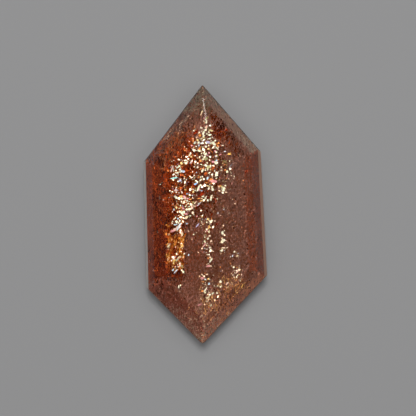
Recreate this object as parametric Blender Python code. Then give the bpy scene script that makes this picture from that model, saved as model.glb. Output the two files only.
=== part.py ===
"""A loose step cut sunstone: long, six sided and pointed at both ends.

The stone is ground the way a gem cutter does it. A block of rough is cut down by one flat
facet after another: the pavilion below, the girdle round the edge, and two rows of steps up
to the flat table. All that is left at the end is one solid stone with flat facets.

X runs across the stone, Y along it and +Z up through the table. The origin is under the
middle of the stone, on the surface that it rests on.
"""

from math import cos, pi
from typing import NamedTuple

import bmesh
import bpy
from mathutils import Vector

MM = 0.001

# Levels above the surface that the stone rests on, in millimetres.
BASE_LEVEL = 0.0
PAVILION_STEP_LEVEL = 1.2
GIRDLE_LOW_LEVEL = 3.1
GIRDLE_TOP_LEVEL = 3.6
CROWN_STEP_LEVEL = 4.35
TABLE_LEVEL = 4.8

# How far in from the outline the two pavilion steps end, the same on all six sides.
PAVILION_STEP_IN = 1.8
BASE_IN = 3.6


class Corner(NamedTuple):
    """One corner of the outline: where the sides would meet, and the radius worn on it."""

    x: float
    y: float
    radius: float


# The stone was cut by eye, so no two corners are quite alike.
TOP_TIP = Corner(-0.29, 12.62, 0.20)
UPPER_LEFT = Corner(-6.04, 5.03, 0.15)
LOWER_LEFT = Corner(-5.77, -7.14, 0.25)
BOTTOM_TIP = Corner(-0.27, -12.72, 0.40)
LOWER_RIGHT = Corner(6.03, -5.95, 0.25)
UPPER_RIGHT = Corner(5.39, 6.08, 0.45)


class Side(NamedTuple):
    """One side of the outline, and how far in from it three edges of the crown lie."""

    start: Corner
    end: Corner
    girdle_in: float
    step_in: float
    table_in: float


# Counterclockwise seen from above, so the outside is always on the right hand.
SIDES = (
    Side(TOP_TIP, UPPER_LEFT, girdle_in=0.08, step_in=0.95, table_in=2.20),
    Side(UPPER_LEFT, LOWER_LEFT, girdle_in=0.24, step_in=0.90, table_in=2.10),
    Side(LOWER_LEFT, BOTTOM_TIP, girdle_in=0.08, step_in=0.95, table_in=2.00),
    Side(BOTTOM_TIP, LOWER_RIGHT, girdle_in=0.08, step_in=0.95, table_in=1.80),
    Side(LOWER_RIGHT, UPPER_RIGHT, girdle_in=0.30, step_in=1.00, table_in=1.87),
    Side(UPPER_RIGHT, TOP_TIP, girdle_in=0.08, step_in=0.92, table_in=1.88),
)

# Each worn corner is this many narrow flats round a small arc.
CORNER_FLATS = 4

# Rough left round the finished outline before the first facet is cut.
ROUGH_MARGIN = 1.0

# A corner nearer to a cut than this is taken as lying on it.
ON_THE_CUT = 0.0005

BODY_COLOUR = (0.150, 0.052, 0.030, 1.0)
POLISH_ROUGHNESS = 0.06
FELDSPAR_IOR = 1.54


def rough_block():
    """The block of rough, whose lower and upper faces are the base and the table."""
    reach_x = max(abs(side.start.x) for side in SIDES) + ROUGH_MARGIN
    reach_y = max(abs(side.start.y) for side in SIDES) + ROUGH_MARGIN
    stone = bmesh.new()
    bmesh.ops.create_cube(stone, size=2.0)
    height = TABLE_LEVEL - BASE_LEVEL
    bmesh.ops.scale(stone, vec=(reach_x, reach_y, height / 2.0), verts=stone.verts)
    middle = (BASE_LEVEL + TABLE_LEVEL) / 2.0
    bmesh.ops.translate(stone, vec=(0.0, 0.0, middle), verts=stone.verts)
    return stone


def grind_flat(stone, point, outward):
    """Cuts away all that lies outward of a plane, and closes the cut with one flat facet."""
    cut = bmesh.ops.bisect_plane(
        stone,
        geom=stone.verts[:] + stone.edges[:] + stone.faces[:],
        dist=ON_THE_CUT,
        plane_co=point,
        plane_no=outward,
        clear_outer=True,
    )
    rim = [piece for piece in cut["geom_cut"] if isinstance(piece, bmesh.types.BMEdge)]
    rim = [edge for edge in rim if edge.is_boundary]
    if rim:
        bmesh.ops.edgeloop_fill(stone, edges=rim)


def outward_of(side):
    """The level direction that a side of the outline faces."""
    run = Vector((side.end.x - side.start.x, side.end.y - side.start.y)).normalized()
    return Vector((run.y, -run.x, 0.0))


def cut_facet(stone, side, low, high):
    """Cuts one facet along a side. Low and high are each a distance in and a level."""
    outward = outward_of(side)
    start = Vector((side.start.x, side.start.y, 0.0))
    low_in, low_level = low
    high_in, high_level = high
    low_point = start - outward * low_in + Vector((0.0, 0.0, low_level))
    high_point = start - outward * high_in + Vector((0.0, 0.0, high_level))
    along = Vector((-outward.y, outward.x, 0.0))
    grind_flat(stone, low_point, along.cross(high_point - low_point).normalized())


def wear_corner(stone, before, after):
    """Rounds the girdle where two sides meet, with narrow upright flats round an arc."""
    corner = before.end
    first = outward_of(before)
    last = outward_of(after)
    middle = (first + last).normalized()
    sharp = Vector((corner.x, corner.y, 0.0))
    arc_centre = sharp - middle * (corner.radius / middle.dot(first))
    turn = first.angle(last)
    for flat in range(CORNER_FLATS):
        share = (flat + 0.5) / CORNER_FLATS
        outward = first.slerp(last, share)
        # The flats cross on the arc, so each lies a little inside it.
        reach = corner.radius * cos(turn / CORNER_FLATS / 2.0)
        grind_flat(stone, arc_centre + outward * reach, outward)


def cut_stone():
    """Cuts the whole stone out of its block, in millimetres."""
    stone = rough_block()
    for side in SIDES:
        cut_facet(stone, side, (BASE_IN, BASE_LEVEL), (PAVILION_STEP_IN, PAVILION_STEP_LEVEL))
        cut_facet(stone, side, (PAVILION_STEP_IN, PAVILION_STEP_LEVEL), (0.0, GIRDLE_LOW_LEVEL))
        cut_facet(stone, side, (0.0, GIRDLE_LOW_LEVEL), (side.girdle_in, GIRDLE_TOP_LEVEL))
        cut_facet(
            stone,
            side,
            (side.girdle_in, GIRDLE_TOP_LEVEL),
            (side.step_in, CROWN_STEP_LEVEL),
        )
        cut_facet(
            stone,
            side,
            (side.step_in, CROWN_STEP_LEVEL),
            (side.table_in, TABLE_LEVEL),
        )
    for before, after in zip(SIDES, SIDES[1:] + SIDES[:1]):
        wear_corner(stone, before, after)
    bmesh.ops.dissolve_degenerate(stone, dist=ON_THE_CUT, edges=stone.edges)
    bmesh.ops.recalc_face_normals(stone, faces=stone.faces)
    return stone


def centre_over_origin(stone):
    """Moves the stone so that the middle of its outline is over the origin."""
    across = [corner.co.x for corner in stone.verts]
    along = [corner.co.y for corner in stone.verts]
    shift = Vector((min(across) + max(across), min(along) + max(along), 0.0)) / -2.0
    bmesh.ops.translate(stone, vec=shift, verts=stone.verts)


def sunstone_material():
    """Polished feldspar with an orange brown body."""
    material = bpy.data.materials.new("sunstone")
    material.use_nodes = True
    shader = material.node_tree.nodes["Principled BSDF"]
    shader.inputs["Base Color"].default_value = BODY_COLOUR
    shader.inputs["Roughness"].default_value = POLISH_ROUGHNESS
    shader.inputs["Metallic"].default_value = 0.0
    shader.inputs["IOR"].default_value = FELDSPAR_IOR
    material.diffuse_color = BODY_COLOUR
    return material


def build_sunstone():
    """Makes the one object of the model, in metres."""
    stone = cut_stone()
    centre_over_origin(stone)
    bmesh.ops.scale(stone, vec=(MM, MM, MM), verts=stone.verts)
    mesh = bpy.data.meshes.new("sunstone")
    stone.to_mesh(mesh)
    stone.free()
    mesh.materials.append(sunstone_material())
    piece = bpy.data.objects.new("sunstone", mesh)
    bpy.context.scene.collection.objects.link(piece)
    return piece


for leftover in list(bpy.data.objects):
    bpy.data.objects.remove(leftover)
build_sunstone()
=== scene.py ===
"""A loose step cut sunstone on a pale grey table top, seen from straight above."""

from math import atan2, cos, pi, radians, sin, tan

import bmesh
import bpy
import numpy as np
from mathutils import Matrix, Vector


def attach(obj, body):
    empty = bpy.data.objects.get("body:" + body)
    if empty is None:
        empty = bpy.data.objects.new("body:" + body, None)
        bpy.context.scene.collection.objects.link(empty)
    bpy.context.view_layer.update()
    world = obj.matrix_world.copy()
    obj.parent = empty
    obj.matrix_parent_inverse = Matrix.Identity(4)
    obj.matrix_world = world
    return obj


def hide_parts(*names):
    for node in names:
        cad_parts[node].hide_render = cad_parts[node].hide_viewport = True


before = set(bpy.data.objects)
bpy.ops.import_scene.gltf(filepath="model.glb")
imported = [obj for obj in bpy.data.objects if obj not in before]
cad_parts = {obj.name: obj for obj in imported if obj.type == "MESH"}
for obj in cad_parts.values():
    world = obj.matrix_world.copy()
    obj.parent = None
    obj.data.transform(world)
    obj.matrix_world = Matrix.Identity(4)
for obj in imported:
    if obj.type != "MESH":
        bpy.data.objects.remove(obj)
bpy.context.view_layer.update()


# The polished stone
# One piece of clear orange feldspar, ground with flat facets on a cutting wheel and polished.
# Handling has worn every facet edge to a fine round, and the girdle is left ground and matt.

# Sizes and places are in mm here, and each mesh is brought to metres when it is finished.
MM = 0.001
BLOCK_SIZE = 40.0
FACET_AREA = 1.0
EDGE_RADIUS = 0.07
RIDGE_RADIUS = 0.75
EDGE_FLATS = 3
CORNER_FLATS = 7
GIRDLE_LOW = 3.1
GIRDLE_TOP = 3.6
GIRDLE_SLACK = 0.05
SAME_POINT = 0.0005
SAME_FACET = radians(1.0)
SLIGHT_TURN = radians(5.0)

# How steeply some facets point up, as the least and the greatest rise of their direction.
UPPER_STEPS = (0.85, 0.99)
PAVILION_WALLS = (-0.75, -0.60)
GIRDLE = (-0.30, 0.62)

STONE_TINT = (1.0, 0.98, 0.96, 1.0)
STONE_ABSORPTION = (0.94, 0.50, 0.05, 1.0)
STONE_DENSITY = 400.0
POLISH = 0.03
FELDSPAR_IOR = 1.54
# The frosted tint is pale as a painted highlight.
FROSTED_HIGHLIGHT_TINT = (0.82, 0.77, 0.72, 1.0)
BROWN_GROUND_TINT = (0.76, 0.42, 0.28, 1.0)
DARK_GROUND_TINT = (0.26, 0.17, 0.13, 1.0)
# The matt tint is painted light, lighter than the shade on those sides allows.
MATT_PAINTED_LIGHT_TINT = (0.62, 0.31, 0.21, 1.0)
GROUND_ROUGHNESS = 0.48
PLAIN_GLOSS = 0.5

# Where each ground finish stands among the stone's materials, after the polished one.
# The frosted and the matt finishes carry painted light.
FROST_WITH_PAINTED_HIGHLIGHT = 1
BROWN = 2
DARK = 3
MATT_PAINTED_LIGHT = 4

# How far the sides of the girdle face left, and towards the tips.
LONG_LEFT_SIDE = -0.85
FAR_TIP_SIDES = 0.3
NEAR_TIP_SIDES = -0.3


def solid_of(node):
    """The stone's solid in mm, with each flat facet whole."""
    solid = bmesh.new()
    solid.from_mesh(node.data)
    bmesh.ops.scale(solid, vec=(1 / MM, 1 / MM, 1 / MM), verts=solid.verts)
    bmesh.ops.remove_doubles(solid, verts=solid.verts, dist=SAME_POINT)
    bmesh.ops.dissolve_limit(solid, angle_limit=SAME_FACET, verts=solid.verts, edges=solid.edges)
    return solid


def facets_of(solid):
    """The main facets, each as its outward direction and how far out it lies."""
    facets = []
    for face in solid.faces:
        if face.calc_area() > FACET_AREA:
            outward = face.normal.normalized()
            facets.append((outward, outward.dot(face.calc_center_median())))
    return facets


def grind(stone, outward, reach):
    """Grinds one flat on the stone: all that lies further out than the plane goes."""
    cut = bmesh.ops.bisect_plane(
        stone,
        geom=stone.verts[:] + stone.edges[:] + stone.faces[:],
        dist=SAME_POINT / 10,
        plane_co=outward * reach,
        plane_no=outward,
        clear_outer=True,
    )
    rim = [piece for piece in cut["geom_cut"] if isinstance(piece, bmesh.types.BMEdge)]
    rim = [edge for edge in rim if edge.is_boundary]
    if len(rim) > 2:
        bmesh.ops.edgeloop_fill(stone, edges=rim)


def rises(outward, limits):
    """Whether a facet points up as steeply as the limits say."""
    least, greatest = limits
    return least < outward.z < greatest


def wear_edges(stone):
    """Rounds each edge between two facets with a few narrow flats round an arc."""
    worn = []
    for edge in stone.edges:
        one, other = (face.normal.copy() for face in edge.link_faces)
        if one.angle(other) < SLIGHT_TURN:
            continue
        # The ridges between neighbouring upper steps stand proud, so they wear the most.
        slopes_meet = rises(one, UPPER_STEPS) and rises(other, UPPER_STEPS)
        radius = RIDGE_RADIUS if slopes_meet else EDGE_RADIUS
        middle = (one + other).normalized()
        arc_centre = edge.verts[0].co - middle * (radius / middle.dot(one))
        for flat in range(EDGE_FLATS):
            outward = one.slerp(other, (flat + 0.5) / EDGE_FLATS)
            worn.append((outward, outward.dot(arc_centre) + radius))
    for outward, reach in worn:
        grind(stone, outward, reach)


def round_corners(stone, facets, solid):
    """Rounds the six corners of the outline as on the solid, and gives the flats."""
    flats = []
    walls = []
    for outward, reach in facets:
        if rises(outward, PAVILION_WALLS):
            flat = Vector((outward.x, outward.y, 0.0))
            size = flat.length
            walls.append((flat / size, (reach - outward.z * GIRDLE_LOW) / size))
    walls.sort(key=lambda wall: atan2(wall[0].y, wall[0].x))
    for (one, one_reach), (other, other_reach) in zip(walls, walls[1:] + walls[:1]):
        across = one.x * other.y - one.y * other.x
        corner = Vector(
            (
                (one_reach * other.y - other_reach * one.y) / across,
                (one.x * other_reach - other.x * one_reach) / across,
                0.0,
            )
        )
        middle = (one + other).normalized()
        cut_back = middle.dot(corner) - max(middle.dot(point.co) for point in solid.verts)
        radius = cut_back / (1 / middle.dot(one) - 1)
        arc_centre = corner - middle * (radius / middle.dot(one))
        for flat in range(CORNER_FLATS):
            outward = one.slerp(other, (flat + 0.5) / CORNER_FLATS)
            flats.append((outward, outward.dot(arc_centre) + radius))
            grind(stone, *flats[-1])
    return flats


def ground_finish(outward):
    """The ground finish of one part of the girdle, with painted light on some sides and a dark tint
    at the far tip.
    """
    # The long left side is frosted, and its pale tint is a painted highlight.
    if outward.x < LONG_LEFT_SIDE:
        return FROST_WITH_PAINTED_HIGHLIGHT
    # Sides at the far tip are tinted dark along the outline; those at the near tip are dull.
    if outward.y > FAR_TIP_SIDES:
        return DARK
    # Their lighter matt tint is painted light against the shade they face.
    if outward.y < NEAR_TIP_SIDES:
        return MATT_PAINTED_LIGHT
    return BROWN


solid = solid_of(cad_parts["sunstone"])
facets = facets_of(solid)
cut_stone = bmesh.new()
bmesh.ops.create_cube(cut_stone, size=BLOCK_SIZE)
for outward, reach in facets:
    grind(cut_stone, outward, reach)
facets += round_corners(cut_stone, facets, solid)
solid.free()
wear_edges(cut_stone)
bmesh.ops.remove_doubles(cut_stone, verts=cut_stone.verts, dist=SAME_POINT)
bmesh.ops.dissolve_degenerate(cut_stone, edges=cut_stone.edges, dist=SAME_POINT)
bmesh.ops.recalc_face_normals(cut_stone, faces=cut_stone.faces)
for face in cut_stone.faces:
    level = face.calc_center_median().z
    at_girdle = GIRDLE_LOW - GIRDLE_SLACK < level < GIRDLE_TOP + GIRDLE_SLACK
    if at_girdle and rises(face.normal, GIRDLE):
        face.material_index = ground_finish(face.normal)
bmesh.ops.scale(cut_stone, vec=(MM, MM, MM), verts=cut_stone.verts)
stone_mesh = bpy.data.meshes.new("polished_stone")
cut_stone.to_mesh(stone_mesh)
cut_stone.free()
stone = bpy.data.objects.new("polished_stone", stone_mesh)
bpy.context.scene.collection.objects.link(stone)


def shader_of(material):
    """Turns a new material's nodes on and gives its shader."""
    material.use_nodes = True
    return material.node_tree.nodes["Principled BSDF"]


def feldspar(name, tint, roughness, clearness, gloss=PLAIN_GLOSS):
    """Orange feldspar with one kind of surface: how rough, how clear and how glossy it is."""
    material = bpy.data.materials.new(name)
    shader = shader_of(material)
    shader.inputs["Base Color"].default_value = tint
    shader.inputs["Roughness"].default_value = roughness
    shader.inputs["IOR"].default_value = FELDSPAR_IOR
    shader.inputs["Transmission Weight"].default_value = clearness
    shader.inputs["Specular IOR Level"].default_value = gloss
    absorption = material.node_tree.nodes.new("ShaderNodeVolumeAbsorption")
    absorption.inputs["Color"].default_value = STONE_ABSORPTION
    absorption.inputs["Density"].default_value = STONE_DENSITY
    output = material.node_tree.nodes["Material Output"]
    material.node_tree.links.new(absorption.outputs["Volume"], output.inputs["Volume"])
    return material


stone_mesh.materials.append(feldspar("polished_feldspar", STONE_TINT, POLISH, 1.0))
stone_mesh.materials.append(feldspar("frosted_girdle_painted_highlight", FROSTED_HIGHLIGHT_TINT, GROUND_ROUGHNESS, 0.25))
stone_mesh.materials.append(feldspar("brown_girdle", BROWN_GROUND_TINT, GROUND_ROUGHNESS, 0.45))
stone_mesh.materials.append(feldspar("dark_girdle", DARK_GROUND_TINT, GROUND_ROUGHNESS, 0.45))
stone_mesh.materials.append(feldspar("matt_girdle_painted_light", MATT_PAINTED_LIGHT_TINT, GROUND_ROUGHNESS, 0.0, 0.0))
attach(stone, "root")
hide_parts("sunstone")


# The rosy haze
# Countless thin platelets of red iron oxide that grew inside the feldspar, lying nearly flat.
# They give the stone its brown body and its fine grain. Each is a closed sliver, flat on top.

TRIANGLE = tuple((cos(pi * 2 / 3 * turn), sin(pi * 2 / 3 * turn)) for turn in range(3))
HAZE_COUNT = 49000
HAZE_THICKNESS = 0.008
HAZE_ROUGHNESS = 0.60
SKIN = 0.02

# How far from the stone's middle flakes grow, across and along, and how deep they may lie.
HALF_WIDTH = 6.0
HALF_LENGTH = 12.5
DEEPEST_SHARE = 0.97
COVER_SHARE = 0.2
THINNEST_STONE = 0.25

# The random patches are laid over a little more than the stone.
PATCHED_WIDTH = 16
PATCHED_LENGTH = 30
PATCHED_FROM = (-7.5, -14.5)

facet_directions = np.array([outward for outward, reach in facets])
facet_reaches = np.array([reach for outward, reach in facets])
upper_facets = facet_directions[:, 2] > 0.1
lower_facets = facet_directions[:, 2] < -0.1


def levels_over(across, along, chosen):
    """The level of each chosen facet's plane over each spot, in mm."""
    out, reach = facet_directions[chosen], facet_reaches[chosen]
    return (reach - np.outer(across, out[:, 0]) - np.outer(along, out[:, 1])) / out[:, 2]


def stone_above(across, along):
    """The level of the stone's upper side at each spot."""
    return levels_over(across, along, upper_facets).min(axis=1)


def stone_below(across, along):
    """The level of the stone's underside at each spot."""
    return levels_over(across, along, lower_facets).max(axis=1)


def facing(across, along):
    """The outward direction of the facet over each spot."""
    return facet_directions[upper_facets][levels_over(across, along, upper_facets).argmin(axis=1)]


def unit(vectors):
    """Brings every row to a length of 1."""
    return vectors / np.linalg.norm(vectors, axis=1)[:, None]


def soft_step(values, middle, width):
    """Rises from 0 to 1 where the values pass the middle, the more gently the wider it is."""
    return 1 / (1 + np.exp(-(values - middle) / width))


def soft_stripe(values, middle, width):
    """Is 1 where the values meet the middle, and falls off to 0 on both sides."""
    return np.exp(-(((values - middle) / width) ** 2))


def patches(seed, across, along, size_across, size_along):
    """Soft random patches over the stone, each about the given size in mm, from 0 to 1."""
    columns = int(PATCHED_WIDTH / size_across) + 3
    rows = int(PATCHED_LENGTH / size_along) + 3
    grid = np.random.default_rng(seed).random((columns, rows))
    right = (across - PATCHED_FROM[0]) / size_across
    up = (along - PATCHED_FROM[1]) / size_along
    column, row = right.astype(int), up.astype(int)
    right, up = right - column, up - row
    right, up = right * right * (3 - 2 * right), up * up * (3 - 2 * up)
    low = grid[column, row] * (1 - right) + grid[column + 1, row] * right
    high = grid[column, row + 1] * (1 - right) + grid[column + 1, row + 1] * right
    return low * (1 - up) + high * up


def scatter(draw, count, chance, cover, share, spread):
    """Places inside the stone: how likely each spot is, and how deep below a clear cover."""
    places = np.empty((0, 3))
    while len(places) < count:
        across = draw.uniform(-HALF_WIDTH, HALF_WIDTH, count)
        along = draw.uniform(-HALF_LENGTH, HALF_LENGTH, count)
        top = stone_above(across, along)
        thickness = top - stone_below(across, along)
        clear = np.minimum(cover, COVER_SHARE * thickness)
        shares = np.clip(draw.normal(share, spread, count), 0, DEEPEST_SHARE)
        depth = clear + shares * (thickness - clear)
        held = (thickness > THINNEST_STONE) & (draw.random(count) < chance(across, along))
        places = np.vstack([places, np.column_stack([across, along, top - depth])[held]])
    return places[:count]


def nearly_flat(draw, count, lean_x, lean_y, spread):
    """Plate directions close to upright."""
    lean_across = draw.normal(lean_x, spread, count)
    lean_along = draw.normal(lean_y, spread, count)
    return unit(np.column_stack([lean_across, lean_along, np.ones(count)]))


def streaked(draw, count, lean, spread):
    """Headings close to the length of the stone."""
    lean_across = draw.normal(lean, spread, count)
    return unit(np.column_stack([lean_across, np.ones(count), np.zeros(count)]))


def flakes(name, outline, centres, normals, headings, lengths, widths, thickness, tints, choice):
    """Joins closed flakes into one piece, each flat on top with a shallow keel below."""
    along = unit(headings - normals * np.sum(headings * normals, axis=1)[:, None])
    across = np.cross(normals, along)
    rim = np.array(outline)
    rims = (
        centres[:, None, :]
        + along[:, None, :] * (rim[None, :, 0, None] * lengths[:, None, None] / 2)
        + across[:, None, :] * (rim[None, :, 1, None] * widths[:, None, None] / 2)
    )
    # A flake that would break the surface was ground away with the rough.
    furthest = (rims @ facet_directions.T).max(axis=1) - facet_reaches
    held = (furthest < -SKIN).all(axis=1)
    rims, centres, normals, choice = rims[held], centres[held], normals[held], choice[held]
    keels = centres - normals * thickness
    points = np.concatenate([rims, keels[:, None, :]], axis=1).reshape(-1, 3) * MM
    sides = len(outline)
    shapes = [tuple(range(sides))]
    shapes += [((side + 1) % sides, side, sides) for side in range(sides)]
    faces = [
        tuple(corner + (sides + 1) * flake for corner in shape)
        for flake in range(len(rims))
        for shape in shapes
    ]
    mesh = bpy.data.meshes.new(name)
    mesh.from_pydata(points.tolist(), [], faces)
    for tint in tints:
        mesh.materials.append(tint)
    mesh.polygons.foreach_set("material_index", np.repeat(choice, len(shapes)).astype(np.int32))
    piece = bpy.data.objects.new(name, mesh)
    bpy.context.scene.collection.objects.link(piece)
    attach(piece, "root")


def metal(name, colour, roughness):
    """A tint of flake, which mirrors the light as a metal does."""
    material = bpy.data.materials.new(name)
    shader = shader_of(material)
    shader.inputs["Base Color"].default_value = (*colour, 1.0)
    shader.inputs["Metallic"].default_value = 1.0
    shader.inputs["Roughness"].default_value = roughness
    return material


def picked(draw, count, *odds):
    """Picks one of several tints for each flake, by the odds of each tint where it lies."""
    ladder = np.cumsum([np.broadcast_to(chance, count) for chance in odds], axis=0)
    return (draw.random(count) * ladder[-1] > ladder[:-1]).sum(axis=0)


# The zones of the haze follow. Their limits are places on the stone in mm, counted from its
# middle to the right and to the far tip, and each zone tells how far a spot lies in it, from 0
# to 1.


def left_rind(across, along):
    """The dark rind along the left side."""
    return soft_step(-across, 5.15 + 0.01 * along, 0.16)


def left_heart(across, along):
    """The deep orange left third of the stone."""
    edge = -1.9 + 1.1 * soft_step(along, 1.5, 0.8)
    inside = (1 - soft_step(across, edge, 0.10)) * soft_step(along, -6.6, 0.3)
    return inside * (1 - soft_step(along, 8.6, 0.5)) * (1 - 0.9 * left_rind(across, along))


def red_shoulder(across, along):
    """The dark red band along the upper right steps."""
    # How far in from the upper right side a spot lies, square to that side.
    inward = 8.06 - 0.755 * across - 0.656 * along
    ragged = patches(9, across, along, 0.5, 0.5) - 0.5
    outer_edge = soft_step(inward, 1.15 + 0.4 * ragged, 0.08)
    band = outer_edge - soft_step(inward, 2.1 + 1.2 * ragged, 0.12)
    level = soft_step(along, 4.6, 0.5) * (1 - soft_step(along, 9.9, 0.15))
    # It is deepest next to the far tip, and again where it ends.
    deepest = soft_stripe(along, 9.0, 1.0) + soft_stripe(along, 6.0, 0.5)
    depth = np.clip(0.72 + 0.5 * ragged + 0.4 * deepest, 0, 1)
    ends = soft_step(across, 0.35, 0.08) * (1 - soft_step(across, 3.5, 0.12))
    return np.clip(band, 0, 1) * level * depth * ends


def glitter_bed(across, along):
    """The bed below the thick of the glitter, where the haze is thin and dark."""
    out = ((across + 0.7 - 0.15 * along) / 1.9) ** 2 + ((along - 3.4) / 4.4) ** 2
    return 1 - soft_step(out, 1.0, 0.12)


def clear_tips_with_painted_light(across, along):
    """The two clear tips, of which the far one is the clearer; their pale haze is painted light."""
    return soft_step(along, 10.6, 0.3) + 0.3 * soft_step(-along, 11.7, 0.3)


def golden_corner(across, along):
    """The golden corner low down on the right."""
    return soft_stripe(across, 2.2, 1.5) * soft_stripe(along, -8.2, 1.3)


def pale_foot(across, along):
    """The paler lower end of the stone."""
    return soft_step(-along, 8.9, 0.6)


def warm_middle(across, along):
    """The warm brown patch just below the middle."""
    return soft_stripe(across, -1.0, 1.0) * soft_stripe(along, -3.2, 2.2)


def dim_corner(across, along):
    """The dim corner low down on the left."""
    return soft_step(-across, 3.0, 0.3) * soft_step(-along, 5.6, 0.4) * soft_step(along, -9.5, 0.4)


def shaded_right(across, along):
    """The duller haze along the right side of the table."""
    level = soft_step(along, -6.0, 0.8) * (1 - soft_step(along, 6.0, 0.8))
    return soft_step(across, 1.8, 0.5) * level


def low_middle(across, along):
    """The dull lower half of the table."""
    level = soft_step(-along, 1.0, 1.0) * (1 - soft_step(-along, 10.0, 0.5))
    return level * soft_step(across, -3.0, 0.4)


# The sides of the stone, each as the way that its facets face, across and along.
LEFT = (-1, 0)
RIGHT = (1, 0)
UPPER_LEFT = (-1, 1)
UPPER_RIGHT = (1, 1)
LOWER_LEFT = (-1, -1)
LOWER_RIGHT = (1, -1)
FACES_ASIDE = 0.15
LOW_STEP_RISE = 0.85


def under_side(side, across, along):
    """Marks the spots under the facets of one side."""
    out = facing(across, along)[:, :2]
    ways = (out > FACES_ASIDE).astype(int) - (out < -FACES_ASIDE)
    return (ways == side).all(axis=1)


def under_low_step(side, across, along):
    """Marks the spots under the low step and the girdle of one side, where the stone is thin."""
    return under_side(side, across, along) & (facing(across, along)[:, 2] < LOW_STEP_RISE)


def rosy_chance(across, along):
    """How likely a rosy platelet is at each spot."""
    kept = 1 - 0.99 * left_heart(across, along) - 0.91 * red_shoulder(across, along)
    kept = np.clip(kept, 0.0, 1.0) * (1 - 0.7 * glitter_bed(across, along))
    return kept * (1 - 0.2 * clear_tips_with_painted_light(across, along))


draw = np.random.default_rng(11)
places = scatter(draw, HAZE_COUNT, rosy_chance, 0.30, 0.20, 0.12)
spots = places[:, 0], places[:, 1]
clouds = 0.6 * patches(7, *spots, 1.1, 1.6) + 0.4 * patches(8, *spots, 0.45, 0.6)
pale_clouds = 0.08 + 0.35 * soft_step(clouds, 0.60, 0.06)
brown_clouds = 0.12 + 0.5 * (1 - soft_step(clouds, 0.43, 0.06))
foot = pale_foot(*spots)
rim = under_low_step(UPPER_RIGHT, *spots)
rim_end = 1 - soft_step(spots[1], 7.1, 0.3)
rind_length = soft_step(spots[1], -6.2, 0.15) - soft_step(spots[1], 4.5, 0.15)
# The heart is marked too, so that no rosy platelet is left among its orange ones.
rind = (left_rind(*spots) + (left_heart(*spots) > 0.85)) * rind_length

# Each tint stands with its odds, which say how often it is picked at each spot against the rest.
rosy_tints = (
    ("rosy_haze", (0.64, 0.33, 0.26), 0.38),
    (
        "pale_haze",
        (0.80, 0.43, 0.35),
        pale_clouds * (1 - 0.7 * low_middle(*spots)) + 2.2 * foot,
    ),
    (
        "brown_haze",
        (0.56, 0.235, 0.15),
        brown_clouds + 0.15 * shaded_right(*spots) + 0.6 * low_middle(*spots),
    ),
    (
        "dark_haze",
        (0.42, 0.17, 0.11),
        0.02 + 0.4 * dim_corner(*spots) + 0.4 * glitter_bed(*spots),
    ),
    # Along the upper right low step the paler tint is painted light, for the lit table seen through
    # the thin edge.
    ("rim_painted_light_haze", (0.73, 0.45, 0.30), 3.5 * rim),
    # At the tips the pale grey tint is painted light, for the lit table seen through the thin
    # stone.
    ("tip_painted_light_haze", (0.55, 0.44, 0.32), 5.0 * clear_tips_with_painted_light(*spots)),
    ("golden_haze", (1.0, 0.45, 0.22), 0.8 * golden_corner(*spots)),
    ("rind_haze", (0.60, 0.12, 0.03), 80.0 * rind),
    (
        "chestnut_haze",
        (0.76, 0.26, 0.155),
        3.0 * under_side(RIGHT, *spots) + 0.5 * warm_middle(*spots) + 0.4 * dim_corner(*spots),
    ),
    (
        "buff_haze",
        (0.93, 0.44, 0.275),
        5.0 * under_low_step(LOWER_RIGHT, *spots) * (1 - 0.3 * foot),
    ),
    ("russet_haze", (0.59, 0.21, 0.15), 5.0 * under_side(LOWER_LEFT, *spots) * (1 - 0.8 * foot)),
    # Paler still is the painted light at that step's far end and at the near tip.
    (
        "rim_end_painted_light_haze",
        (0.93, 0.72, 0.55),
        6.0 * rim * rim_end + 1.4 * soft_step(-spots[1], 10.2, 0.4),
    ),
    ("dusk_haze", (0.56, 0.305, 0.25), 1.2 * shaded_right(*spots)),
)
# Under sloping facets the light and the eye come in from elsewhere, so flakes that lean another
# way are the ones that show there.
lean_across = (
    0.08 * under_low_step(LOWER_RIGHT, *spots)
    - 0.10 * under_side(LEFT, *spots)
    - 0.20 * left_rind(*spots)
    - 0.10 * under_low_step(LOWER_LEFT, *spots)
)
lean_along = 0.08 - 0.12 * foot - 0.06 * under_low_step(LOWER_LEFT, *spots)
flakes(
    "rosy_haze",
    TRIANGLE,
    places,
    normals=nearly_flat(draw, HAZE_COUNT, lean_across, lean_along, 0.10),
    headings=streaked(draw, HAZE_COUNT, 0.10, 0.35),
    lengths=draw.uniform(0.14, 0.45, HAZE_COUNT),
    widths=draw.uniform(0.08, 0.20, HAZE_COUNT),
    thickness=HAZE_THICKNESS,
    tints=[metal(name, colour, HAZE_ROUGHNESS) for name, colour, odds in rosy_tints],
    choice=picked(draw, HAZE_COUNT, *(odds for name, colour, odds in rosy_tints)),
)


# The orange haze
# On the left third the platelets lie deep, so the light passes much more of the orange feldspar.
# They are drawn out along the stone in wavy streaks, some of them nearly black.

ORANGE_COUNT = 22000


def orange_chance(across, along):
    """How likely an orange platelet is at each spot."""
    under = left_heart(across, along) + red_shoulder(across, along)
    return 0.05 + 0.95 * np.clip(under + 0.6 * glitter_bed(across, along), 0, 1)


def lower_part(across, along):
    """The lower part of the stone, where the orange haze grows dimmer."""
    return soft_step(-along, 2.0, 1.8)


def honey_bed(across, along):
    """The glowing bed below the honey streaks."""
    level = soft_step(along, -5.3, 0.25) * (1 - soft_step(along, -1.2, 0.3))
    return level * soft_step(across, -3.75, 0.08) * (1 - soft_step(across, -1.95, 0.05))


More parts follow.
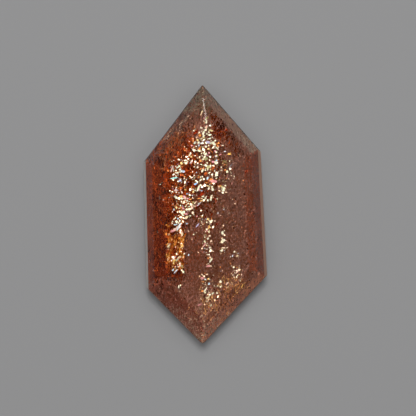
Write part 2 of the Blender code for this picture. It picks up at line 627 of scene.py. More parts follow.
draw = np.random.default_rng(12)
places = scatter(draw, ORANGE_COUNT, orange_chance, 0.30, 0.40, 0.14)
spots = places[:, 0], places[:, 1]
wavy_across = spots[0] + 0.15 * np.sin(spots[1] * 2.0)
streaks = 0.55 * patches(2, wavy_across, spots[1], 0.30, 1.2) + 0.45 * patches(21, *spots, 0.7, 1.1)
shoulder = red_shoulder(*spots)
drab = 1 - soft_step(streaks, 0.47, 0.05)
dim = lower_part(*spots) * (1 - honey_bed(*spots))
stripes = soft_stripe(spots[0], -3.45, 0.20) + soft_stripe(spots[0], -2.3, 0.25)
glow = honey_bed(*spots) * np.clip(0.9 * stripes + 0.2 * (spots[1] < -4.0), 0, 1)
unlit = 1 - 0.8 * glow
# The bark brown platelets thin out towards the corner of the stone.
bark = under_side(UPPER_LEFT, *spots) * soft_step(spots[0], -3.9, 0.25)
# No stray orange is left near the near tip and along the right side.
dull = soft_step(-spots[1], 9.6, 0.4) + under_side(RIGHT, *spots)

# Each tint stands with its roughness and its odds.
orange_tints = (
    (
        "orange_haze",
        (1.0, 0.23, 0.055),
        0.54,
        soft_step(streaks, 0.34, 0.05) * (1 - 0.9 * shoulder) * (1 - 0.7 * dim),
    ),
    ("umber_haze", (0.64, 0.16, 0.045), 0.54, (0.7 * drab + 0.08 + 0.5 * shoulder + dim) * unlit),
    (
        "red_haze",
        (0.34, 0.06, 0.02),
        0.54,
        (0.3 * drab + 0.06 + 1.1 * shoulder + 0.3 * glitter_bed(*spots) + 3.2 * dim) * unlit,
    ),
    ("amber_haze", (1.0, 0.31, 0.045), 0.50, 1.6 * glow),
    ("ember_haze", (1.0, 0.34, 0.10), 0.48, 0.08 * (1 - shoulder) * (1 - dim)),
    ("bark_haze", (0.95, 0.46, 0.22), 0.54, 1.6 * bark),
    ("dull_haze", (0.72, 0.36, 0.28), 0.60, 20.0 * dull),
)
flakes(
    "orange_haze",
    TRIANGLE,
    places,
    normals=nearly_flat(draw, ORANGE_COUNT, -0.10 * under_side(LEFT, *spots), 0.08, 0.13),
    headings=streaked(draw, ORANGE_COUNT, 0.0, 0.30),
    lengths=draw.uniform(0.12, 0.46, ORANGE_COUNT),
    widths=draw.uniform(0.07, 0.16, ORANGE_COUNT),
    thickness=HAZE_THICKNESS,
    tints=[metal(name, colour, roughness) for name, colour, roughness, odds in orange_tints],
    choice=picked(draw, ORANGE_COUNT, *(tint[-1] for tint in orange_tints)),
)


# The dark strokes
# Short thin strokes of black iron oxide above the haze, thickest in a band along the left.

STROKE_COUNT = 950
TABLE_RISE = 0.97


def stroke_chance(across, along):
    """How likely a dark stroke is at each spot."""
    left_band = 0.30 * soft_stripe(across + 0.4 * np.sin(along * 1.3), -4.2, 0.55)
    left_band = left_band * soft_step(along, -9.0, 0.4) * (1 - soft_step(along, 7.0, 0.4))
    upper_steps = (facing(across, along)[:, 2] < TABLE_RISE) * (along > 5.0) * (along < 9.7)
    beside_tip = (np.abs(across) > 1.0) * (across < 3.6)
    shoulder = 0.30 * upper_steps * beside_tip * (1 - under_low_step(UPPER_RIGHT, across, along))
    shoulder = shoulder * (1 - 0.5 * under_side(UPPER_LEFT, across, along))
    heart = 0.08 * left_heart(across, along) * (1 - 0.8 * honey_bed(across, along))
    clumps = 0.10 + 0.90 * soft_step(patches(3, across, along, 0.35, 0.7), 0.58, 0.06)
    return (left_band + shoulder + heart + 0.03) * clumps


draw = np.random.default_rng(13)
flakes(
    "dark_strokes",
    TRIANGLE,
    scatter(draw, STROKE_COUNT, stroke_chance, 0.12, 0.10, 0.03),
    normals=nearly_flat(draw, STROKE_COUNT, 0.0, 0.0, 0.2),
    headings=streaked(draw, STROKE_COUNT, 0.1, 0.30),
    lengths=draw.uniform(0.12, 0.60, STROKE_COUNT),
    widths=draw.uniform(0.05, 0.12, STROKE_COUNT),
    thickness=HAZE_THICKNESS,
    tints=[
        metal("black_stroke", (0.07, 0.02, 0.012), 0.5),
        metal("brown_stroke", (0.20, 0.06, 0.03), 0.5),
    ],
    choice=picked(draw, STROKE_COUNT, 0.45, 0.55),
)


# The honey streaks
# Below the glitter on the left lies a short curtain of broader golden platelets, in upright
# stripes that end in a straight edge towards the middle of the stone.

HONEY_COUNT = 270
# Where the camera's lens and the middle of the key softbox are, in mm.
LENS_AT = np.array([0.258, 0.600, 115.762])
LAMP_DISTANCE = 350.0
KEY_TILT = radians(15.0)
KEY_AT = LAMP_DISTANCE * np.array([0.0, sin(KEY_TILT), cos(KEY_TILT)])


def honey_chance(across, along):
    """How likely a honey streak is at each spot of the curtain."""
    inside = (across > -3.75) * (1 - soft_step(across, -1.95, 0.03))
    below_glitter = 1 - soft_step(along, -1.6, 0.2)
    round_hem = soft_step(along, -5.3 + 0.9 * ((across + 2.7) / 0.9) ** 2, 0.15)
    thin_stripe = 0.8 * soft_stripe(across, -3.5, 0.13)
    broad_stripe = soft_stripe(across, -2.25, 0.24)
    stripes = thin_stripe + broad_stripe + 0.25 + 0.5 * (along < -3.9)
    clumps = soft_step(patches(4, across, along, 0.22, 0.5), 0.5, 0.05)
    return 0.6 * inside * below_glitter * round_hem * stripes * clumps


def seen_from_inside(places, outside):
    """The way that light from a point outside takes at each place, bent by the facet above."""
    towards = unit(outside - places)
    facet = facing(places[:, 0], places[:, 1])
    head_on = np.sum(towards * facet, axis=1)[:, None]
    slanted = (towards - facet * head_on) / FELDSPAR_IOR
    return slanted + facet * np.sqrt(1 - np.sum(slanted**2, axis=1))[:, None]


def towards_the_eye(draw, places, spread):
    """Directions that throw the softbox's light up to the eye, give or take a spread."""
    halfway = seen_from_inside(places, LENS_AT) + seen_from_inside(places, KEY_AT)
    lean_across, lean_along = (halfway[:, :2] / halfway[:, 2:]).T
    return nearly_flat(draw, len(places), lean_across, lean_along, spread)


draw = np.random.default_rng(14)
places = scatter(draw, HONEY_COUNT, honey_chance, 0.30, 0.06, 0.04)
flakes(
    "honey_streaks",
    TRIANGLE,
    places,
    normals=towards_the_eye(draw, places, 0.08),
    headings=streaked(draw, HONEY_COUNT, 0.0, 0.3),
    lengths=draw.uniform(0.12, 0.40, HONEY_COUNT),
    widths=draw.uniform(0.07, 0.17, HONEY_COUNT),
    thickness=HAZE_THICKNESS,
    tints=[
        metal("honey", (0.98, 0.46, 0.09), 0.43),
        metal("amber", (0.85, 0.27, 0.04), 0.45),
        metal("straw", (1.0, 0.74, 0.38), 0.38),
    ],
    choice=picked(draw, HONEY_COUNT, 0.40, 0.50, 0.10),
)


# The bright flakes
# Thin copper and hematite crystals, bigger than the haze and flat as mirrors. They lie in drifts
# where the feldspar grew over them, nearly parallel, so that a whole drift flashes at once.

# Each drift is a soft patch: where it lies on the table in mm, how far it spreads across and
# along, how many flakes it holds, and how big they grew against the rest.
DRIFTS = (
    (0.0, 9.05, 0.10, 0.25, 12, 0.9),
    (0.1, 8.4, 0.18, 0.25, 18, 1.0),
    (0.05, 7.9, 0.25, 0.20, 16, 0.9),
    (-0.35, 7.35, 0.42, 0.22, 34, 0.95),
    (-0.9, 6.75, 0.30, 0.22, 20, 0.9),
    (-0.1, 6.75, 0.35, 0.22, 36, 0.95),
    (0.6, 6.8, 0.28, 0.22, 50, 1.0),
    (-1.3, 6.1, 0.50, 0.25, 14, 0.8),
    (-0.45, 6.15, 0.30, 0.22, 22, 0.95),
    (0.5, 6.2, 0.20, 0.20, 6, 0.9),
    (1.05, 6.1, 0.18, 0.28, 26, 1.0),
    (-0.1, 5.6, 0.40, 0.30, 44, 1.0),
    (1.0, 5.3, 0.22, 0.30, 36, 1.0),
    (-1.6, 5.35, 0.45, 0.30, 28, 0.9),
    (-2.2, 4.9, 0.24, 0.20, 76, 1.1),
    (-0.4, 4.9, 0.45, 0.28, 60, 1.0),
    (0.5, 4.5, 0.25, 0.25, 24, 1.0),
    (-2.8, 4.3, 0.26, 0.28, 42, 1.0),
    (0.05, 4.3, 0.33, 0.25, 44, 1.0),
    (-1.4, 3.8, 0.50, 0.30, 16, 0.8),
    (-3.0, 3.7, 0.18, 0.30, 6, 0.9),
    (1.05, 3.75, 0.22, 0.28, 24, 1.0),
    (-2.3, 3.15, 0.36, 0.28, 28, 0.95),
    (-0.5, 3.0, 0.24, 0.30, 50, 1.0),
    (0.45, 3.15, 0.25, 0.25, 46, 1.0),
    (-2.8, 2.45, 0.45, 0.22, 34, 0.9),
    (-0.8, 2.5, 0.25, 0.30, 66, 1.0),
    (-0.05, 2.6, 0.20, 0.15, 18, 1.0),
    (0.55, 2.5, 0.25, 0.20, 16, 0.9),
    (1.8, 4.7, 0.25, 0.30, 20, 0.85),
    (1.7, 2.6, 0.22, 0.22, 22, 1.0),
    (2.0, 3.8, 0.35, 0.80, 32, 0.85),
    (-1.6, 1.5, 0.75, 0.24, 140, 1.1),
    (0.1, 1.5, 0.35, 0.20, 24, 1.0),
    (-2.4, 0.95, 0.60, 0.28, 60, 1.0),
    (-0.9, 0.9, 0.30, 0.25, 38, 1.0),
    (-1.9, 0.3, 0.42, 0.25, 120, 1.05),
    (-2.2, -0.35, 0.24, 0.22, 116, 1.1),
    (-2.6, -1.0, 0.26, 0.28, 100, 1.1),
    (-2.4, -1.85, 0.20, 0.20, 8, 0.9),
    (0.0, -0.3, 0.30, 0.25, 18, 0.75),
    (0.5, -0.8, 0.22, 0.20, 50, 0.95),
    (0.4, -1.4, 0.22, 0.22, 24, 0.85),
    (-0.9, -1.4, 0.45, 0.50, 14, 0.6),
    (1.65, -1.6, 0.15, 0.30, 10, 0.8),
    (0.2, -2.4, 0.25, 0.30, 28, 0.85),
    (1.75, -2.6, 0.18, 0.30, 24, 0.85),
    (0.1, -3.2, 0.25, 0.30, 26, 0.85),
    (1.65, -3.2, 0.16, 0.28, 26, 0.9),
    (0.5, -4.2, 0.18, 0.30, 18, 0.85),
    (0.1, -5.0, 0.35, 0.20, 8, 0.75),
    (0.0, -6.1, 0.20, 0.18, 36, 0.85),
    (0.15, -6.7, 0.25, 0.20, 10, 0.7),
    (1.5, -6.7, 0.45, 0.25, 18, 0.7),
    (-0.05, -7.3, 0.22, 0.22, 26, 0.85),
    (0.9, -7.3, 0.40, 0.20, 12, 0.65),
    (0.3, -7.85, 0.28, 0.18, 44, 1.0),
    (0.2, -8.6, 0.35, 0.28, 26, 0.8),
    (2.85, -3.9, 0.22, 0.40, 14, 0.65),
    (3.0, -5.4, 0.25, 0.30, 46, 0.75),
    (2.9, -6.6, 0.60, 0.35, 16, 0.6),
    (1.6, -4.8, 0.60, 1.20, 10, 0.5),
    (-3.5, -3.1, 0.15, 0.15, 6, 0.9),
    (-2.3, -3.2, 0.14, 0.30, 12, 0.9),
    (-2.6, -4.35, 0.18, 0.22, 30, 1.0),
    (-2.45, -5.0, 0.18, 0.20, 12, 0.9),
    (-3.1, -5.3, 0.18, 0.10, 6, 0.8),
    (-2.45, -6.9, 0.10, 0.25, 6, 0.8),
    (1.5, 0.6, 0.60, 1.00, 26, 0.55),
    (0.3, -2.0, 1.90, 4.00, 30, 0.5),
    (-3.0, -4.35, 0.18, 0.18, 16, 1.0),
)
SHARD = ((1.0, 0.0), (0.35, 0.9), (-0.7, 0.7), (-1.0, -0.2), (-0.2, -1.0))
FLAKE_THICKNESS = 0.012
FLAKE_COVER = 0.04
FLAKE_DEPTH = 0.06
RICHNESS = 1.8
CLOSENESS = 0.7
FLAKE_GAP = 0.045
SHORTEST_FLAKE = 0.06
LONGEST_FLAKE = 0.32


def with_room(across, along, lengths):
    """Marks the flakes that have room to grow beside the larger ones."""
    kept = np.zeros(len(lengths), bool)
    for flake in np.argsort(-lengths):
        apart = np.hypot(across[kept] - across[flake], along[kept] - along[flake])
        reach = CLOSENESS * (lengths[kept] + lengths[flake]) / 2 + FLAKE_GAP
        kept[flake] = (apart > reach).all()
    return kept


def flakes_of(number, drift):
    """Where the flakes of one drift lie and how long they grew, each drift drawn by itself."""
    middle_across, middle_along, spread_across, spread_along, held, growth = drift
    draw = np.random.default_rng(100 + number)
    count = int(RICHNESS * held)
    lengths = (SHORTEST_FLAKE + draw.gamma(1.3, 0.060, count)) * growth
    across = draw.normal(middle_across, spread_across, count)
    along = draw.normal(middle_along, spread_along, count)
    return np.column_stack([across, along, np.minimum(lengths, LONGEST_FLAKE)])


def any_way(draw, count):
    """Level headings that point anywhere."""
    return unit(np.column_stack([draw.normal(0, 1, (2, count)).T, np.zeros(count)]))


grown = np.vstack([flakes_of(number, drift) for number, drift in enumerate(DRIFTS)])
across, along, flake_lengths = grown[with_room(*grown.T)].T
flake_count = len(flake_lengths)
draw = np.random.default_rng(5)
depth = FLAKE_COVER + FLAKE_DEPTH + draw.gamma(1.5, 0.08, flake_count)
flake_at = np.column_stack([across, along, stone_above(across, along) - depth])
lower_half = 1 - soft_step(along, 2.0, 0.8)

# Each tint stands with its roughness and its odds.
bright_tints = (
    ("cream_flake", (0.96, 0.90, 0.66), 0.28, 0.34 - 0.24 * lower_half),
    ("peach_flake", (1.0, 0.78, 0.54), 0.29, 0.06 + 0.24 * lower_half),
    ("ivory_flake", (0.90, 0.88, 0.60), 0.35, 0.13),
    ("gold_flake", (0.92, 0.66, 0.28), 0.36, 0.08),
    ("copper_flake", (0.95, 0.36, 0.10), 0.40, 0.09),
    ("rose_flake", (0.92, 0.42, 0.46), 0.40, 0.05),
    ("ice_flake", (0.66, 0.82, 0.94), 0.40, 0.03),
    ("red_flake", (0.50, 0.06, 0.03), 0.50, 0.07),
    ("olive_flake", (0.46, 0.38, 0.16), 0.46, 0.06),
    ("bronze_flake", (0.28, 0.12, 0.07), 0.50, 0.16),
)
flakes(
    "bright_flakes",
    SHARD,
    flake_at,
    normals=towards_the_eye(draw, flake_at, 0.04),
    headings=any_way(draw, flake_count),
    lengths=flake_lengths,
    widths=flake_lengths * draw.uniform(0.4, 1.0, flake_count),
    thickness=FLAKE_THICKNESS,
    tints=[metal(name, colour, roughness) for name, colour, roughness, odds in bright_tints],
    choice=picked(draw, flake_count, *(tint[-1] for tint in bright_tints)),
)


# The fine threads
# Hair thin needles along the layers of the feldspar: golden ones in the lower right corner that
# cross each other in a V, and pale ones that hatch the steps on both sides of the far tip.

THREAD_WIDTH = 0.04
THREAD_DEPTH = 0.15
GOLDEN_THREADS = 120
PALE_THREADS = 30
HATCHING_SPREAD = 0.18
PALE_TURN = radians(60.0)
# The golden threads lie in two clusters, and each points one of two ways.
CLUSTER_SPREAD = 0.75
OUTER_CLUSTER = Vector((2.6, -7.0))
INNER_CLUSTER = Vector((0.7, -8.9))
ONE_TURN = radians(62.0)
OTHER_TURN = radians(118.0)
# The two rows of pale threads run from one end to the other.
RIGHT_ROW = Vector((1.2, 10.3)), Vector((5.0, 6.2))
LEFT_ROW = Vector((-3.9, 7.3)), Vector((-1.5, 9.4))


def hatched(draw, start, end):
    """A row of threads side by side, each a little off its place."""
    steps = np.linspace(0, 1, PALE_THREADS)
    across = start.x + (end.x - start.x) * steps + draw.normal(0, HATCHING_SPREAD, PALE_THREADS)
    along = start.y + (end.y - start.y) * steps + draw.normal(0, HATCHING_SPREAD, PALE_THREADS)
    return across, along


def pointing(turns):
    """Level headings, each turned from the stone's width."""
    return np.column_stack([np.cos(turns), np.sin(turns), np.zeros(len(turns))])


draw = np.random.default_rng(15)
outer = draw.random(GOLDEN_THREADS) < 0.5
golden_across = np.where(outer, OUTER_CLUSTER.x, INNER_CLUSTER.x)
golden_across = golden_across + draw.normal(0, CLUSTER_SPREAD, GOLDEN_THREADS)
golden_along = np.where(outer, OUTER_CLUSTER.y, INNER_CLUSTER.y)
golden_along = golden_along + draw.normal(0, CLUSTER_SPREAD, GOLDEN_THREADS)
golden_turns = np.where(draw.random(GOLDEN_THREADS) < 0.5, ONE_TURN, OTHER_TURN)
golden_turns = golden_turns + draw.normal(0.0, 0.18, GOLDEN_THREADS)
right_across, right_along = hatched(draw, *RIGHT_ROW)
left_across, left_along = hatched(draw, *LEFT_ROW)
pale_turns = draw.normal(PALE_TURN, 0.10, 2 * PALE_THREADS)
across = np.concatenate([golden_across, right_across, left_across])
along = np.concatenate([golden_along, right_along, left_along])
thread_count = len(across)
thread_at = np.column_stack([across, along, stone_above(across, along) - THREAD_DEPTH])
flakes(
    "fine_threads",
    SHARD,
    thread_at,
    normals=towards_the_eye(draw, thread_at, 0.08),
    headings=pointing(np.concatenate([golden_turns, pale_turns])),
    lengths=draw.uniform(0.25, 0.75, thread_count),
    widths=np.full(thread_count, THREAD_WIDTH),
    thickness=HAZE_THICKNESS,
    tints=[
        metal("golden_thread", (0.98, 0.50, 0.18), 0.44),
        metal("pale_thread", (0.62, 0.43, 0.29), 0.50),
    ],
    choice=np.repeat([0, 1], [GOLDEN_THREADS, 2 * PALE_THREADS]),
)


# The large crystals
# Some copper and hematite crystals have grown to between a fifth of a mm and 1 mm, as long
# slivers and six sided plates. Thin ones show the colours of an oil film.

# Each is given by where it lies on the table, its length and width, the way that it points, in
# degrees from the stone's width, and its colour.
CRYSTALS = (
    (-0.35, 9.75, 0.62, 0.12, 72, "straw"),
    (0.02, 9.1, 0.22, 0.18, 0, "cream"),
    (0.08, 8.82, 0.24, 0.20, 60, "cream"),
    (0.1, 8.38, 0.40, 0.20, 85, "blush"),
    (-0.38, 8.3, 0.26, 0.18, -20, "cream"),
    (-0.15, 7.87, 0.34, 0.20, 70, "cream"),
    (0.45, 7.62, 0.32, 0.22, 20, "cream"),
    (0.45, 7.27, 0.22, 0.16, 60, "cream"),
    (0.55, 8.05, 0.44, 0.20, -15, "olive"),
    (-0.8, 7.38, 0.30, 0.14, 35, "blush"),
    (-0.35, 7.28, 0.34, 0.14, 20, "straw"),
    (-0.16, 7.52, 0.30, 0.18, 70, "cream"),
    (0.8, 6.8, 0.56, 0.28, -48, "cream"),
    (0.24, 6.92, 0.46, 0.28, 0, "lilac"),
    (-0.36, 6.85, 0.50, 0.12, 25, "white"),
    (-1.0, 6.87, 0.34, 0.24, 60, "cream"),
    (-0.62, 6.62, 0.20, 0.14, 70, "white"),
    (0.06, 6.5, 0.26, 0.20, 0, "cream"),
    (1.2, 6.36, 0.34, 0.13, 58, "cream"),
    (-0.6, 6.1, 0.36, 0.22, -20, "cream"),
    (1.06, 5.98, 0.22, 0.17, 0, "cream"),
    (0.0, 5.77, 0.28, 0.26, 0, "cream"),
    (-1.52, 5.7, 0.32, 0.20, 70, "straw"),
    (1.03, 5.57, 0.30, 0.17, -20, "white"),
    (0.09, 5.35, 0.38, 0.28, 60, "olive"),
    (1.67, 6.62, 0.18, 0.14, 0, "cream"),
    (1.0, 4.95, 0.42, 0.30, 120, "cream"),
    (-1.37, 5.0, 0.34, 0.20, 60, "blush"),
    (-0.76, 4.53, 0.26, 0.16, 80, "cream"),
    (0.3, 4.55, 0.42, 0.32, 40, "olive"),
    (0.75, 4.44, 0.40, 0.26, 60, "ember"),
    (2.3, 5.8, 0.40, 0.24, 20, "gold"),
    (1.88, 6.02, 0.20, 0.14, 0, "white"),
    (-3.2, 4.35, 0.75, 0.16, 68, "blush"),
    (-2.68, 4.5, 0.28, 0.18, 20, "cream"),
    (-2.17, 4.13, 0.50, 0.28, -10, "white"),
    (-2.71, 3.98, 0.22, 0.18, 20, "cream"),
    (-2.28, 3.8, 0.44, 0.22, 0, "ember"),
    (-0.27, 4.2, 0.42, 0.22, 72, "cream"),
    (0.03, 3.9, 0.34, 0.24, 30, "ember"),
    (-3.0, 3.48, 0.86, 0.16, 10, "teal"),
    (-2.44, 3.22, 0.36, 0.22, 30, "lilac"),
    (2.4, 4.6, 0.70, 0.05, 50, "ice"),
    (1.07, 3.77, 0.34, 0.30, 0, "cream"),
    (0.2, 3.45, 0.34, 0.20, 70, "ice"),
    (0.8, 3.16, 0.74, 0.34, -8, "rose"),
    (-0.92, 2.92, 0.40, 0.20, 30, "blue"),
    (-0.68, 2.48, 0.68, 0.20, 72, "cream"),
    (-0.45, 3.3, 0.34, 0.18, 50, "cream"),
    (0.7, 2.37, 0.34, 0.28, 100, "cream"),
    (0.33, 2.48, 0.34, 0.18, 70, "cream"),
    (-2.34, 2.5, 0.42, 0.26, 30, "ember"),
    (-2.34, 1.72, 0.42, 0.24, 10, "gold"),
    (-1.9, 2.35, 0.24, 0.16, 60, "gold"),
    (-2.85, 2.3, 0.34, 0.20, 20, "blush"),
    (1.75, 2.3, 0.32, 0.24, 30, "cream"),
    (1.6, 2.65, 0.26, 0.22, 60, "olive"),
    (-0.95, 1.65, 0.85, 0.24, 105, "cream"),
    (-0.7, 1.15, 0.75, 0.06, 48, "white"),
    (-0.58, 1.0, 0.65, 0.06, 48, "white"),
    (0.03, 1.53, 0.26, 0.22, 80, "cream"),
    (0.24, 1.34, 0.24, 0.18, 100, "cream"),
    (0.54, 1.43, 0.28, 0.20, 100, "cream"),
    (-2.8, 1.6, 0.30, 0.22, 60, "cream"),
    (-2.0, 1.55, 0.32, 0.18, 20, "blush"),
    (-2.15, 0.15, 0.50, 0.34, 30, "cream"),
    (-1.3, 0.65, 0.46, 0.24, 100, "blush"),
    (-1.8, -0.3, 0.34, 0.26, 60, "straw"),
    (-0.8, -0.2, 0.20, 0.14, 60, "rose"),
    (-2.55, -1.2, 0.90, 0.22, 62, "white"),
    (-2.8, -1.35, 0.60, 0.16, 65, "blush"),
    (-3.1, -1.58, 0.62, 0.24, 25, "rose"),
    (-2.85, -0.98, 0.45, 0.12, 12, "ice"),
    (-2.22, -1.9, 0.42, 0.24, 85, "straw"),
    (-3.5, -1.95, 0.24, 0.12, 80, "straw"),
    (-2.87, -3.15, 0.20, 0.10, 90, "blush"),
    (-0.75, -1.05, 0.60, 0.13, 50, "lilac"),
    (-1.13, -1.95, 0.18, 0.14, 0, "cream"),
    (0.55, -0.65, 0.40, 0.18, 30, "cream"),
    (0.35, -1.25, 0.40, 0.20, 80, "gold"),
    (0.16, -1.6, 0.22, 0.16, 0, "rose"),
    (1.65, -1.8, 0.36, 0.26, 120, "cream"),
    (0.26, -2.33, 0.26, 0.20, 60, "cream"),
    (1.74, -2.5, 0.38, 0.26, 20, "cream"),
    (-0.06, -2.9, 0.52, 0.12, 60, "rose"),
    (0.45, -3.2, 0.24, 0.18, 0, "cream"),
    (1.6, -3.45, 0.30, 0.20, 70, "cream"),
    (-1.6, -3.9, 0.22, 0.16, 80, "ice"),
    (-3.53, -3.05, 0.36, 0.18, 60, "straw"),
    (-2.2, -3.05, 0.34, 0.18, 70, "gold"),
    (-3.6, -4.35, 0.30, 0.10, 100, "straw"),
    (-2.97, -4.45, 0.40, 0.24, 40, "gold"),
    (-2.5, -4.15, 0.48, 0.22, 30, "straw"),
    (-2.42, -4.85, 0.44, 0.16, 80, "blush"),
    (-2.85, -5.5, 0.60, 0.14, 50, "white"),
    (-3.1, -5.35, 0.28, 0.16, 60, "ice"),
    (-2.55, -6.95, 0.36, 0.16, 80, "cream"),
    (2.8, -3.6, 0.24, 0.16, 60, "cream"),
    (3.05, -4.0, 0.22, 0.16, 30, "straw"),
    (0.55, -4.4, 0.55, 0.20, 55, "cream"),
    (0.26, -5.0, 0.50, 0.18, 10, "rose"),
    (0.76, -4.9, 0.30, 0.18, 80, "black"),
    (3.1, -5.45, 0.62, 0.13, 62, "blush"),
    (2.72, -5.1, 0.18, 0.16, 0, "cream"),
    (-0.3, -6.15, 0.40, 0.26, 10, "rose"),
    (-0.02, -6.25, 0.22, 0.16, 0, "white"),
    (0.29, -6.2, 0.24, 0.16, 80, "gold"),
    (1.46, -6.5, 0.28, 0.26, 0, "cream"),
    (1.46, -6.97, 0.20, 0.18, 0, "cream"),
    (2.1, -6.65, 0.42, 0.12, 40, "blush"),
    (3.55, -6.9, 0.42, 0.10, 60, "gold"),
    (0.0, -7.27, 0.62, 0.16, 60, "cream"),
    (0.73, -7.58, 0.32, 0.18, 30, "cream"),
    (1.12, -7.56, 0.20, 0.16, 0, "cream"),
    (0.26, -8.0, 0.42, 0.20, 45, "straw"),
    (2.5, -8.1, 0.52, 0.10, 60, "gold"),
    (-0.55, -8.7, 0.48, 0.12, 25, "rose"),
    (0.53, -8.76, 0.32, 0.14, 60, "cream"),
    (1.0, 9.0, 0.60, 0.30, 70, "blood"),
    (2.0, 8.1, 0.40, 0.22, 60, "blood"),
    (2.95, 6.15, 0.60, 0.36, 50, "blood"),
    (-0.95, 7.85, 0.62, 0.30, 40, "blood"),
    (-1.62, 3.95, 1.00, 0.28, 55, "blood"),
    (-0.28, 2.0, 0.64, 0.34, 60, "blood"),
    (3.9, 4.1, 0.50, 0.16, 60, "blood"),
    (4.55, 3.3, 0.34, 0.16, 60, "blood"),
    (0.6, -0.05, 0.44, 0.14, 60, "blood"),
    (-3.4, 6.8, 0.34, 0.16, 40, "black"),
    (-3.8, 5.8, 0.34, 0.14, 70, "black"),
    (-4.65, 5.4, 0.46, 0.16, 60, "black"),
    (-4.75, 3.2, 0.50, 0.22, 20, "black"),
    (-4.2, 2.95, 0.40, 0.16, 60, "black"),
    (-4.4, 1.6, 0.60, 0.15, 85, "black"),
    (-5.0, -1.45, 0.44, 0.18, 80, "black"),
    (-4.6, -1.7, 0.34, 0.16, 100, "black"),
    (-2.2, 8.3, 0.32, 0.16, 30, "black"),
    (-1.2, 9.2, 0.30, 0.13, 80, "black"),
    (3.2, 5.7, 0.55, 0.14, 100, "black"),
    (3.9, 1.1, 0.30, 0.13, 60, "black"),
    (-2.4, -7.1, 0.24, 0.14, 0, "black"),
)
CRYSTAL_DEPTH = 0.05
PLATE = ((1.0, 0.0), (0.6, 0.75), (-0.45, 0.95), (-1.0, 0.1), (-0.55, -0.8), (0.5, -0.9))
crystal_tints = {
    "cream": metal("cream_crystal", (0.98, 0.92, 0.68), 0.40),
    "white": metal("white_crystal", (0.95, 0.97, 1.0), 0.42),
    "gold": metal("gold_crystal", (1.0, 0.58, 0.16), 0.44),
    "straw": metal("straw_crystal", (1.0, 0.78, 0.46), 0.44),
    "olive": metal("olive_crystal", (0.80, 0.70, 0.34), 0.46),
    "blush": metal("blush_crystal", (1.0, 0.64, 0.50), 0.42),
    "rose": metal("rose_crystal", (1.0, 0.44, 0.42), 0.45),
    "ember": metal("ember_crystal", (0.90, 0.20, 0.05), 0.48),
    "lilac": metal("lilac_crystal", (0.84, 0.74, 0.98), 0.44),
    "ice": metal("ice_crystal", (0.72, 0.84, 0.92), 0.44),
    "blue": metal("blue_crystal", (0.46, 0.76, 1.0), 0.44),
    "teal": metal("teal_crystal", (0.58, 0.96, 0.86), 0.45),
    "blood": metal("blood_crystal", (0.44, 0.05, 0.015), 0.50),
    "black": metal("black_crystal", (0.16, 0.08, 0.05), 0.50),
}

draw = np.random.default_rng(6)
across, along, lengths, widths, degrees, names = (np.array(column) for column in zip(*CRYSTALS))
depth = FLAKE_COVER + draw.uniform(0, CRYSTAL_DEPTH, len(CRYSTALS))
crystal_at = np.column_stack([across, along, stone_above(across, along) - depth])
flakes(
    "large_crystals",
    PLATE,
    crystal_at,
    normals=towards_the_eye(draw, crystal_at, 0.03),
    headings=pointing(np.radians(degrees)),
    lengths=lengths,
    widths=widths,
    thickness=FLAKE_THICKNESS,
    tints=crystal_tints.values(),
    choice=np.array([list(crystal_tints).index(name) for name in names]),
)


# The table top
# A plain pale board, wide enough to fill the view. It lies a hair below the stone, so that the
# two never share a surface.

BOARD_WIDTH = 1200.0
BOARD_DROP = 0.02
PAINT = (0.488, 0.488, 0.493, 1.0)
PAINT_ROUGHNESS = 0.9
PAINT_GLOSS = 0.1

bpy.ops.mesh.primitive_plane_add(size=BOARD_WIDTH * MM, location=(0, 0, -BOARD_DROP * MM))
board = bpy.context.object
board.name = "table_top"
paint = bpy.data.materials.new("table_paint")
shader = shader_of(paint)
shader.inputs["Base Color"].default_value = PAINT
shader.inputs["Roughness"].default_value = PAINT_ROUGHNESS
shader.inputs["Specular IOR Level"].default_value = PAINT_GLOSS
board.data.materials.append(paint)


# Light and camera
# One round softbox above the far end of the stone and a small one further over, in a pale room
# that is brightest low down on the far side. The camera shades the middle of the ceiling.

KEY_HALF_ANGLE = radians(7.0)
KEY_RADIANCE = 22.0
# The small softbox stands where the worn ridge at the far tip mirrors it to the camera.
RIDGE_TOWARDS = (0.045, 0.585, 0.81)
RIDGE_HALF_ANGLE = radians(3.0)
RIDGE_RADIANCE = 4.5

# How bright the ceiling and the walls are, and how fast their light falls off.
CEILING = 2.35
CEILING_FALL = 10.0
CAMERA_SHADE = 26.0
HORIZON = 0.44
HORIZON_SWING = 0.38
WALL_FALL = 4.0
BRIGHT_SIDE = (0.45, 0.89, 0.0)

world = bpy.data.worlds.new("studio")
bpy.context.scene.world = world
world.use_nodes = True
nodes, links = world.node_tree.nodes, world.node_tree.links
direction = nodes.new("ShaderNodeTexCoord").outputs["Generated"]


def reckon(operation, one, other, third=0.0):
    """One step of arithmetic on the light that comes from each direction."""
    step = nodes.new("ShaderNodeMath")
    step.operation = operation
    for socket, value in zip(step.inputs, (one, other, third)):
        if isinstance(value, bpy.types.NodeSocket):
            links.new(value, socket)
        else:
            socket.default_value = value
    return step.outputs[0]


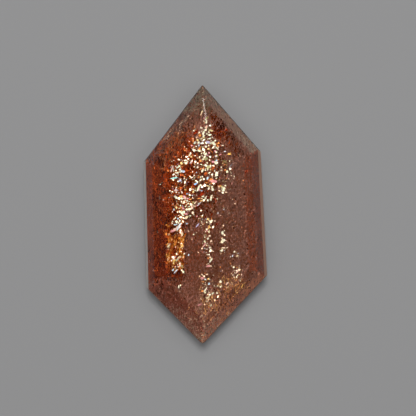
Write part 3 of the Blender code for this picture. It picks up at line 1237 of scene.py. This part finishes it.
height = nodes.new("ShaderNodeSeparateXYZ")
links.new(direction, height.inputs[0])
sideways = nodes.new("ShaderNodeVectorMath")
sideways.operation = "DOT_PRODUCT"
links.new(direction, sideways.inputs[0])
sideways.inputs[1].default_value = BRIGHT_SIDE
upward = height.outputs["Z"]
low_down = reckon("POWER", reckon("SUBTRACT", 1.0, upward), WALL_FALL)
walls = reckon("MULTIPLY_ADD", sideways.outputs["Value"], HORIZON_SWING, HORIZON)
overhead = reckon("MAXIMUM", upward, 0.0)
ring = reckon("POWER", overhead, CEILING_FALL)
ring = reckon("SUBTRACT", ring, reckon("POWER", overhead, CAMERA_SHADE))
light = reckon("MULTIPLY_ADD", low_down, walls, reckon("MULTIPLY", ring, CEILING))
links.new(light, nodes["Background"].inputs["Strength"])
nodes["Background"].inputs["Color"].default_value = (1.0, 1.0, 1.0, 1.0)


def softbox(name, towards, half_angle, radiance):
    """A round softbox in a given direction, as wide as the angle that it fills."""
    width = 2 * LAMP_DISTANCE * MM * tan(half_angle)
    area = pi * width**2 / 4
    lamp = bpy.data.lights.new(name, "AREA")
    lamp.shape = "DISK"
    lamp.size = width
    lamp.energy = radiance * pi * area
    box = bpy.data.objects.new(name, lamp)
    box.location = towards * LAMP_DISTANCE * MM
    box.rotation_mode = "QUATERNION"
    box.rotation_quaternion = towards.to_track_quat("Z", "Y")
    bpy.context.scene.collection.objects.link(box)


softbox("key_softbox", Vector(KEY_AT).normalized(), KEY_HALF_ANGLE, KEY_RADIANCE)
softbox("ridge_softbox", Vector(RIDGE_TOWARDS).normalized(), RIDGE_HALF_ANGLE, RIDGE_RADIANCE)

camera_data = bpy.data.cameras.new("camera")
camera_data.sensor_width = 36.0
camera_data.lens = 100.0
camera_data.clip_start = 0.001
camera_data.clip_end = 5.0
camera = bpy.data.objects.new("camera", camera_data)
camera.location = Vector(LENS_AT) * MM
bpy.context.scene.collection.objects.link(camera)
bpy.context.scene.camera = camera
bpy.context.scene.view_settings.view_transform = "Standard"
